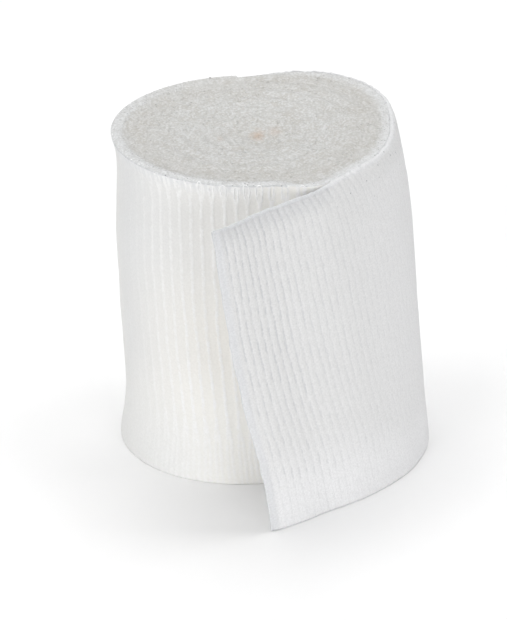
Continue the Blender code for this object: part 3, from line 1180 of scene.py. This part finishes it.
    def faces(self, rows: int, size: int) -> np.ndarray:
        """Four-cornered faces of the two faces and four edges, facing out."""
        far = rows * size
        grid = np.arange(far).reshape(rows, size)
        low, high = grid[:-1], grid[1:]
        front = np.stack((low[:, 1:], low[:, :-1], high[:, :-1], high[:, 1:]), -1)
        back = np.stack((low[:, :-1], low[:, 1:], high[:, 1:], high[:, :-1]), -1) + far
        base, top = grid[0], grid[-1]
        under = np.stack((base[:-1], base[1:], base[1:] + far, base[:-1] + far), -1)
        over = np.stack((top[1:], top[:-1], top[:-1] + far, top[1:] + far), -1)
        start, end = grid[:, 0], grid[:, -1]
        near = np.stack((start[:-1], start[:-1] + far, start[1:] + far, start[1:]), -1)
        tail = np.stack((end[:-1] + far, end[:-1], end[1:], end[1:] + far), -1)
        parts = (front, back, under, over, near, tail)
        return np.vstack([part.reshape(-1, 4) for part in parts])


def add_node(
    tree: bpy.types.NodeTree,
    kind: str,
    settings: dict[str, object] | None = None,
    links: dict[str | int, bpy.types.NodeSocket] | None = None,
) -> bpy.types.Node:
    """Add a node with its settings and the sockets that feed it.

    Args:
        tree: The node tree.
        kind: Blender's name for the node's type.
        settings: Properties of the node, or else values of its inputs.
        links: Output sockets by the name or number of the input they feed.

    Returns:
        The new node.
    """
    node = tree.nodes.new(kind)
    for label, value in (settings or {}).items():
        if hasattr(node, label):
            setattr(node, label, value)
        else:
            node.inputs[label].default_value = value
    for label, socket in (links or {}).items():
        tree.links.new(socket, node.inputs[label])
    return node


def blend_colors(
    tree: bpy.types.NodeTree,
    low: str | bpy.types.NodeSocket,
    high: str | bpy.types.NodeSocket,
    share: bpy.types.NodeSocket,
) -> bpy.types.NodeSocket:
    """Blend two colours, each a hex code or a socket, by a share from 0 to 1."""
    node = add_node(tree, "ShaderNodeMix", {"data_type": "RGBA"}, {"Factor": share})
    for socket, color in ((node.inputs[6], low), (node.inputs[7], high)):
        if isinstance(color, str):
            socket.default_value = linear_color(color)
        else:
            tree.links.new(color, socket)
    return node.outputs[2]


def compute(
    tree: bpy.types.NodeTree, operation: str, *values: bpy.types.NodeSocket | float
) -> bpy.types.NodeSocket:
    """Put values, each a socket or a number, through one step of arithmetic."""
    node = add_node(tree, "ShaderNodeMath", {"operation": operation})
    for socket, value in zip(node.inputs, values):
        if isinstance(value, float):
            socket.default_value = value
        else:
            tree.links.new(value, socket)
    return node.outputs[0]


def remap(
    tree: bpy.types.NodeTree,
    value: bpy.types.NodeSocket,
    span: Span,
    into: Span = (0.0, 1.0),
    eased: bool = False,
) -> bpy.types.NodeSocket:
    """Carry a value from one span into another, and stop it at both ends.

    Args:
        tree: The node tree.
        value: The value.
        span: The values that become the ends of the other span.
        into: The other span.
        eased: Whether it starts and stops softly, as 3t^2 - 2t^3.

    Returns:
        The new value.
    """
    limits = {
        "interpolation_type": "SMOOTHSTEP" if eased else "LINEAR",
        "From Min": span[0],
        "From Max": span[1],
        "To Min": into[0],
        "To Max": into[1],
    }
    return add_node(tree, "ShaderNodeMapRange", limits, {"Value": value}).outputs[0]


def noise(
    tree: bpy.types.NodeTree,
    place: bpy.types.NodeSocket,
    grain_mm: float,
    detail: float,
    roughness: float = 0.65,
) -> bpy.types.NodeSocket:
    """Make smooth noise whose grains have a width in millimetres."""
    look = {"Scale": 1.0 / (grain_mm * MM), "Detail": detail, "Roughness": roughness}
    return add_node(tree, "ShaderNodeTexNoise", look, {"Vector": place}).outputs["Fac"]


def attribute(tree: bpy.types.NodeTree, name: str) -> bpy.types.NodeSocket:
    """Read an attribute of the piece as a value."""
    return add_node(tree, "ShaderNodeAttribute", {"attribute_name": name}).outputs["Fac"]


def object_place(tree: bpy.types.NodeTree) -> bpy.types.NodeSocket:
    """Read the place on the piece, in metres."""
    return add_node(tree, "ShaderNodeTexCoord").outputs["Object"]


def start_material(name: str) -> bpy.types.Material:
    """Make a material with nodes."""
    material = bpy.data.materials.new(name)
    material.use_nodes = True
    return material


def matt_shader(
    material: bpy.types.Material, roughness: float, specular: float
) -> bpy.types.Node:
    """Set how matt the material's shader is, and give the shader."""
    shader = material.node_tree.nodes["Principled BSDF"]
    shader.inputs["Roughness"].default_value = roughness
    shader.inputs["Specular IOR Level"].default_value = specular
    return shader


def frayed_mask(
    tree: bpy.types.NodeTree,
    place: bpy.types.NodeSocket,
    reach_mm: float,
    fray_mm: float,
    grain_mm: float,
) -> bpy.types.NodeSocket:
    """Mark a thread or a groove: 1 on its middle line, 0 beside it.

    The distance from the line is pushed out and in by noise before it is
    compared with the reach, so that the sides look frayed.

    Args:
        tree: The material's tree.
        place: Object coordinates.
        reach_mm: Half the width of the thread or groove.
        fray_mm: How far its sides stray.
        grain_mm: Length of one stray.

    Returns:
        The mark, from 0 to 1.
    """
    frayed = noise(tree, place, grain_mm, 2.0, 0.6)
    strayed = compute(tree, "MULTIPLY_ADD", frayed, 4.0 * fray_mm, attribute(tree, "aside"))
    middle = reach_mm + 2.0 * fray_mm
    side = (middle - 0.5 * reach_mm, middle + 0.5 * reach_mm)
    return remap(tree, strayed, side, (1.0, 0.0), eased=True)


def pit_shade_mask(
    tree: bpy.types.NodeTree,
    place: bpy.types.NodeSocket,
    zone: bpy.types.NodeSocket,
    spacing_mm: float,
    reach_mm: float,
    kept: float,
) -> bpy.types.NodeSocket:
    """Mark painted shade in small pits between yarns, spread without order over a zone.

    Args:
        tree: The material's tree.
        place: Object coordinates.
        zone: Where pits may lie, from 0 to 1.
        spacing_mm: Mean distance between the places a pit may take.
        reach_mm: Radius of a pit.
        kept: Share of those places that have one.

    Returns:
        The painted shade's mark, 1 in the middle of a pit.
    """
    look = {"Scale": 1.0 / (spacing_mm * MM)}
    cells = add_node(tree, "ShaderNodeTexVoronoi", look, {"Vector": place})
    reach = reach_mm / spacing_mm
    pit_shade = remap(tree, cells.outputs["Distance"], (0.4 * reach, reach), (1.0, 0.0))
    parts = add_node(tree, "ShaderNodeSeparateColor", links={0: cells.outputs["Color"]})
    chosen = compute(tree, "LESS_THAN", parts.outputs[0], kept)
    return compute(tree, "MULTIPLY", compute(tree, "MULTIPLY", pit_shade, chosen), zone)


@dataclass(frozen=True)
class CottonBody:
    """What all the cotton has in common: matt, grained and a little fuzzy."""

    fuzz_mm: float = 0.34
    fuzz_depth_mm: float = 0.14
    fuzz_strength: float = 0.6
    roughness: float = 0.95
    specular: float = 0.12

    def finish(
        self,
        material: bpy.types.Material,
        color: bpy.types.NodeSocket,
        grain: Span,
        relief: bpy.types.NodeSocket,
        relief_mm: float,
    ) -> bpy.types.Material:
        """Set the shader from a colour with its grain, a fibre bump and a relief.

        Args:
            material: The material.
            color: The colour before the grain.
            grain: Width of one tuft of fibre in millimetres, and how far the
                colour swings to each side, as a share.
            relief: Height of threads, from 0 to 1.
            relief_mm: How high 1 stands, in millimetres.

        Returns:
            The finished material.
        """
        tree = material.node_tree
        place = object_place(tree)
        grain_mm, depth = grain
        tufts = noise(tree, place, grain_mm, 2.0)
        shade = remap(tree, tufts, (0.3, 0.7), (1.0 - depth, 1.0 + depth))
        links = {0: color, "Scale": shade}
        grained = add_node(tree, "ShaderNodeVectorMath", {"operation": "SCALE"}, links)
        fuzz = {"Strength": self.fuzz_strength, "Distance": self.fuzz_depth_mm * MM}
        links = {"Height": noise(tree, place, self.fuzz_mm, 3.0)}
        bump = add_node(tree, "ShaderNodeBump", fuzz, links)
        threads = {"Strength": 1.0, "Distance": relief_mm * MM}
        links = {"Height": relief, "Normal": bump.outputs["Normal"]}
        bump = add_node(tree, "ShaderNodeBump", threads, links)
        shader = matt_shader(material, self.roughness, self.specular)
        tree.links.new(grained.outputs[0], shader.inputs["Base Color"])
        tree.links.new(bump.outputs["Normal"], shader.inputs["Normal"])
        return material


@dataclass(frozen=True)
class CrepeFinish:
    """Bleached cotton crepe under tension: twisted white threads on a cream ground.

    The threads across the cloth stand up as narrow frayed ribs, and the finer
    ground between them lets the yarn's natural cream show where it is
    stretched most.
    """

    name: str = "stretched_cotton_crepe"
    thread: str = "#EEEEED"
    # The lighter thread and ground below are painted light, not colours of the cloth.
    painted_light_thread: str = "#F5F5F5"
    ground: str = "#DFE0E1"
    warm_ground: str = "#ECEAE5"
    painted_light_ground: str = "#F3F2EE"
    thread_reach_mm: float = 0.40
    fray_mm: float = 0.26
    fray_grain_mm: float = 0.7
    waning_mm: float = 1.6
    grain: Span = (0.50, 0.030)
    relief_mm: float = 0.04
    body: CottonBody = CottonBody()

    def make(self) -> bpy.types.Material:
        """Make the material from the wall's aside, warmth and clear attributes and the one that
        carries the painted light.
        """
        material = start_material(self.name)
        tree = material.node_tree
        place = object_place(tree)
        painted_light = attribute(tree, "painted_light")
        mask = frayed_mask(tree, place, self.thread_reach_mm, self.fray_mm, self.fray_grain_mm)
        mask = compute(tree, "MULTIPLY", mask, attribute(tree, "clear"))
        waning = noise(tree, place, self.waning_mm, 2.0, 0.6)
        mask = compute(tree, "MULTIPLY", mask, remap(tree, waning, (0.36, 0.56), (0.35, 1.0)))
        ground = blend_colors(tree, self.ground, self.warm_ground, attribute(tree, "warmth"))
        ground = blend_colors(tree, ground, self.painted_light_ground, painted_light)
        thread = blend_colors(tree, self.thread, self.painted_light_thread, painted_light)
        color = blend_colors(tree, ground, thread, mask)
        return self.body.finish(material, color, self.grain, mask, self.relief_mm)


@dataclass(frozen=True)
class SelvedgeFinish:
    """Wound cotton selvedges: a mat of yarn loops, greyer and warmer inside.

    Between the turns the yarn's natural colour shows as beige and the loops'
    tips stay white.  Ground and tips are also set darker than the wall's
    cotton, as painted shade for the light the loops trap.  Near the middle the
    elastic yarn has left light brown stains.
    """

    name: str = "wound_cotton_selvedges"
    tip: str = "#D0D1D1"
    dull_tip: str = "#C9C8C6"
    rim_tip: str = "#DADBDC"
    ground: str = "#B6B3AD"
    light_ground: str = "#BEBCB8"
    patch_ground: str = "#C1C1BF"
    rim_ground: str = "#CFD0D1"
    # Painted shade in the pits between loops.
    pit_shade: str = "#9C9D9E"
    stain: str = "#BE9F84"
    patch_mm: float = 4.0
    granule_mm: float = 0.62
    pit_spacing_mm: float = 0.95
    pit_reach_mm: float = 0.26
    pits_kept: float = 0.60
    stain_fray_mm: float = 1.3
    stain_stretch: float = 0.55
    grain: Span = (0.45, 0.05)
    relief_mm: float = 0.05
    body: CottonBody = CottonBody(fuzz_mm=0.50, fuzz_depth_mm=0.10, fuzz_strength=0.5)

    def make(self) -> bpy.types.Material:
        """Make the material from the face's crest, tone, rim and outer attributes."""
        material = start_material(self.name)
        tree = material.node_tree
        place = object_place(tree)
        tone = attribute(tree, "tone")
        rim = attribute(tree, "rim")
        patch = remap(tree, noise(tree, place, self.patch_mm, 3.0), (0.40, 0.60), (0.25, 0.75))
        ground = blend_colors(tree, self.ground, self.light_ground, tone)
        ground = blend_colors(tree, ground, self.patch_ground, patch)
        ground = blend_colors(tree, ground, self.rim_ground, rim)
        tip = blend_colors(tree, self.dull_tip, self.tip, tone)
        tip = blend_colors(tree, tip, self.rim_tip, rim)
        look = {"Scale": 1.0 / (self.granule_mm * MM), "feature": "SMOOTH_F1", "Smoothness": 0.6}
        cells = add_node(tree, "ShaderNodeTexVoronoi", look, {"Vector": place})
        granule = remap(tree, cells.outputs["Distance"], (0.60, 0.12))
        piled = compute(tree, "ADD", granule, attribute(tree, "crest"))
        color = blend_colors(tree, ground, tip, remap(tree, piled, (0.35, 1.35), eased=True))
        # Dark pits between the outermost turns' loops: painted shade.
        outer = attribute(tree, "outer")
        pits = pit_shade_mask(tree, place, outer, self.pit_spacing_mm, self.pit_reach_mm, self.pits_kept)
        color = blend_colors(tree, color, self.pit_shade, pits)
        for middle, reach, weight in (
            ((0.0016, 0.0005, 0.0777), 0.0024, 0.46),
            ((0.0057, 0.0021, 0.0782), 0.0023, 0.22),
            ((-0.0072, -0.0020, 0.0785), 0.0013, 0.18),
        ):
            color = self.stained(tree, color, place, middle, reach, weight)
        return self.body.finish(material, color, self.grain, granule, self.relief_mm)

    def stained(
        self,
        tree: bpy.types.NodeTree,
        color: bpy.types.NodeSocket,
        place: bpy.types.NodeSocket,
        middle: tuple[float, float, float],
        reach: float,
        weight: float,
    ) -> bpy.types.NodeSocket:
        """Tint the colour round one place on the top.

        Args:
            tree: The material's tree.
            color: The colour before the stain.
            place: Object coordinates.
            middle: The stain's middle.
            reach: Distance at which it has about faded out.
            weight: How strong it is at its middle.

        Returns:
            The stained colour.
        """
        stretch = self.stain_stretch
        drawn_out = add_node(
            tree, "ShaderNodeMapping", {"Scale": (1.0, stretch, 1.0)}, {"Vector": place}
        )
        links = {0: drawn_out.outputs[0]}
        away = add_node(tree, "ShaderNodeVectorMath", {"operation": "DISTANCE"}, links)
        away.inputs[1].default_value = (middle[0], stretch * middle[1], middle[2])
        rough = noise(tree, place, self.stain_fray_mm, 2.0, 0.5)
        wobble = compute(tree, "MULTIPLY_ADD", rough, 0.9 * reach, away.outputs["Value"])
        share = remap(tree, wobble, (0.6 * reach, 1.4 * reach), (weight, 0.0))
        return blend_colors(tree, color, self.stain, share)


@dataclass(frozen=True)
class LooseFinish:
    """The same bleached crepe relaxed: its ribs close together, dark grooves.

    The ribs hide the cream ground; only narrow frayed grooves are left, which
    open and close along their length and are coloured a darker blue-grey:
    painted shade in the grooves.
    """

    name: str = "relaxed_cotton_crepe"
    rib: str = "#E3E3E3"
    # The groove colour is painted shade in the grooves.
    groove: str = "#D0D1D3"
    # The lighter rib colour below is painted light towards the foot and round the side.
    painted_light_rib: str = "#EEEEEF"
    # Painted shade along the upper selvedge.
    top_edge_shade: str = "#CFD0D2"
    end: str = "#D8D9DB"
    # Painted shade in small holes near the upper selvedge.
    pit_shade: str = "#A9AAAD"
    groove_reach_mm: float = 0.24
    fray_mm: float = 0.18
    fray_grain_mm: float = 0.6
    dash_mm: float = 1.2
    dash_stretch: float = 0.5
    pit_spacing_mm: float = 1.4
    pit_reach_mm: float = 0.24
    pits_kept: float = 0.45
    grain: Span = (0.42, 0.065)
    relief_mm: float = 0.018
    body: CottonBody = CottonBody()

    def make(self) -> bpy.types.Material:
        """Make the material from the sheet's attributes."""
        material = start_material(self.name)
        tree = material.node_tree
        place = object_place(tree)
        mask = frayed_mask(tree, place, self.groove_reach_mm, self.fray_mm, self.fray_grain_mm)
        longer = add_node(
            tree, "ShaderNodeMapping", {"Scale": (1.0, 1.0, self.dash_stretch)}, {"Vector": place}
        )
        dashes = noise(tree, longer.outputs[0], self.dash_mm, 1.0, 0.5)
        dashes = remap(tree, dashes, (0.40, 0.60), (0.30, 1.0), eased=True)
        mask = compute(tree, "MULTIPLY", mask, dashes)
        mask = compute(tree, "MULTIPLY", mask, attribute(tree, "cut"))
        rib = blend_colors(tree, self.rib, self.painted_light_rib, attribute(tree, "lower"))
        rib = blend_colors(tree, rib, self.end, attribute(tree, "end"))
        rib = blend_colors(tree, rib, self.top_edge_shade, attribute(tree, "painted_top_shade"))
        color = blend_colors(tree, rib, self.groove, mask)
        # Pits: painted shade in the cloth's holes.
        zone = attribute(tree, "pitted")
        pits = pit_shade_mask(tree, place, zone, self.pit_spacing_mm, self.pit_reach_mm, self.pits_kept)
        color = blend_colors(tree, color, self.pit_shade, pits)
        raised = remap(tree, mask, (0.0, 1.0), (1.0, 0.0))
        return self.body.finish(material, color, self.grain, raised, self.relief_mm)


@dataclass
class Bandage:
    """The whole bandage: its pieces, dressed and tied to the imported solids."""

    form: RollForm = field(default_factory=RollForm)
    crepe: CrepeFinish = CrepeFinish()
    selvedges: SelvedgeFinish = SelvedgeFinish()
    relaxed: LooseFinish = LooseFinish()
    bright_thread: str = "#F3F3F3"
    yarn_body: CottonBody = CottonBody(fuzz_mm=0.2, fuzz_depth_mm=0.03)

    def dress(self, piece: bpy.types.Object, material: bpy.types.Material, node: str) -> None:
        """Give a piece its material, its body and the solid it shows."""
        piece.data.materials.append(material)
        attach(piece, "root")
        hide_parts(node)
        triangles = sum(len(polygon.vertices) - 2 for polygon in piece.data.polygons)
        LOG.info("%s made, %d triangles", piece.name, triangles)

    def build(self) -> None:
        """Build and dress every piece of the bandage."""
        crepe = self.crepe.make()
        selvedges = self.selvedges.make()
        relaxed = self.relaxed.make()
        pins = replace(
            self.crepe, name="cotton_rib_thread", thread=self.bright_thread, body=self.yarn_body
        ).make()
        loops = replace(self.selvedges, name="cotton_loop_yarn", body=self.yarn_body).make()

        wall = RollWall(self.form)
        top = WoundFace(self.form, EndFace.TOP)
        for part, material in (
            (wall, crepe),
            (top, selvedges),
            (WoundFace(self.form, EndFace.UNDERSIDE, ring_count=90), selvedges),
            (SelvedgeLoops(self.form, top), loops),
            (RimLoops(self.form, wall, "top_hairpins", at_top=True), pins),
            (RimLoops(self.form, wall, "base_hairpins", at_top=False), pins),
        ):
            self.dress(part.build(), material, "roll")

        cloth = LooseCloth(self.form)
        sheet = cloth.build()
        self.dress(sheet, relaxed, "loose_end")


@dataclass
class Studio:
    """A pale floor, soft light from all round and the camera.

    The view's middle lies to the right of the place looked at and above it by
    the two values of aim, each a share of the distance.
    """

    floor_color: str = "#F9F9F9"
    floor_reach: float = 3.0
    sky_low: float = 0.04
    sky_high: float = 0.40
    back_power: float = 4.7
    side_power: float = 1.9
    left_front_power: float = 7.1
    right_front_power: float = 5.9
    distance: float = 1.0
    elevation: float = math.radians(26.44)
    roll: float = math.radians(1.0)
    look_at: tuple[float, float, float] = (0.0, 0.0, 0.040)
    lens: float = 294.4
    aim: Span = (0.000072, -0.007477)

    def add_floor(self) -> None:
        """Lay the floor just under the bandage."""
        corners = np.array(((-1.0, -1.0, 0.0), (1.0, -1.0, 0.0), (1.0, 1.0, 0.0), (-1.0, 1.0, 0.0)))
        floor = make_piece("floor", corners * self.floor_reach, [np.array(((0, 1, 2, 3),))], {})
        material = start_material("matt_white_sweep")
        shader = matt_shader(material, 1.0, 0.0)
        shader.inputs["Base Color"].default_value = linear_color(self.floor_color)
        floor.data.materials.append(material)

    def add_light(self) -> None:
        """Light the bandage from a white surround, level by level."""
        world = bpy.data.worlds.new("soft_surround")
        bpy.context.scene.world = world
        world.use_nodes = True
        tree = world.node_tree
        background = tree.nodes["Background"]
        place = add_node(tree, "ShaderNodeTexCoord").outputs["Generated"]
        axes = add_node(tree, "ShaderNodeSeparateXYZ", links={0: place})
        strength = remap(tree, axes.outputs["Z"], (0.0, 1.0), (self.sky_low, self.sky_high))
        background.inputs["Color"].default_value = (1.0, 1.0, 1.0, 1.0)
        tree.links.new(strength, background.inputs["Strength"])
        self.add_panel("back_panel", (0.0, 0.36, 0.94), 0.7, self.back_power)
        self.add_panel("left_panel", (-0.42, 0.05, 0.90), 0.4, self.side_power)
        self.add_panel("right_panel", (0.42, 0.05, 0.90), 0.4, self.side_power)
        self.add_panel("left_front_panel", (-0.75, -1.1, 0.28), 0.6, self.left_front_power)
        self.add_panel("right_front_panel", (0.60, -1.2, 0.22), 0.6, self.right_front_power)

    def add_panel(
        self, name: str, place: tuple[float, float, float], size: float, power: float
    ) -> None:
        """Hang a square panel light that faces the bandage."""
        data = bpy.data.lights.new(name, "AREA")
        data.shape = "SQUARE"
        data.size = size
        data.energy = power
        panel = bpy.data.objects.new(name, data)
        panel.location = place
        towards = Vector(self.look_at) - Vector(place)
        panel.rotation_euler = towards.to_track_quat("-Z", "Y").to_euler()
        bpy.context.scene.collection.objects.link(panel)

    def add_camera(self) -> None:
        """Set up the camera in front of the bandage, a little above it."""
        back = Vector((0.0, -math.cos(self.elevation), math.sin(self.elevation)))
        level = Vector((1.0, 0.0, 0.0))
        upright = back.cross(level)
        right = level * math.cos(self.roll) - upright * math.sin(self.roll)
        up = level * math.sin(self.roll) + upright * math.cos(self.roll)
        forward = (-back + right * self.aim[0] + up * self.aim[1]).normalized()
        right = (right - forward * right.dot(forward)).normalized()
        up = right.cross(forward)
        data = bpy.data.cameras.new("studio_camera")
        data.sensor_fit = "HORIZONTAL"
        data.sensor_width = 36.0
        data.lens = self.lens
        data.clip_start = 0.05
        data.clip_end = 20.0
        camera = bpy.data.objects.new("studio_camera", data)
        place = Matrix((right, up, -forward)).transposed().to_4x4()
        place.translation = Vector(self.look_at) + back * self.distance
        camera.matrix_world = place
        bpy.context.scene.collection.objects.link(camera)
        bpy.context.scene.camera = camera

    def build(self) -> None:
        """Set up the whole studio with plain colour handling."""
        self.add_floor()
        self.add_light()
        self.add_camera()
        bpy.context.scene.view_settings.view_transform = "Standard"
        bpy.context.scene.view_settings.look = "None"


def main() -> None:
    """Build the bandage and its studio and log the solids' names."""
    logging.basicConfig(level=logging.INFO, format="%(name)s: %(message)s")
    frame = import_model()
    LOG.info("solids: %s", ", ".join(sorted(frame["nodes"])))
    Bandage().build()
    Studio().build()


if __name__ == "__main__":
    main()
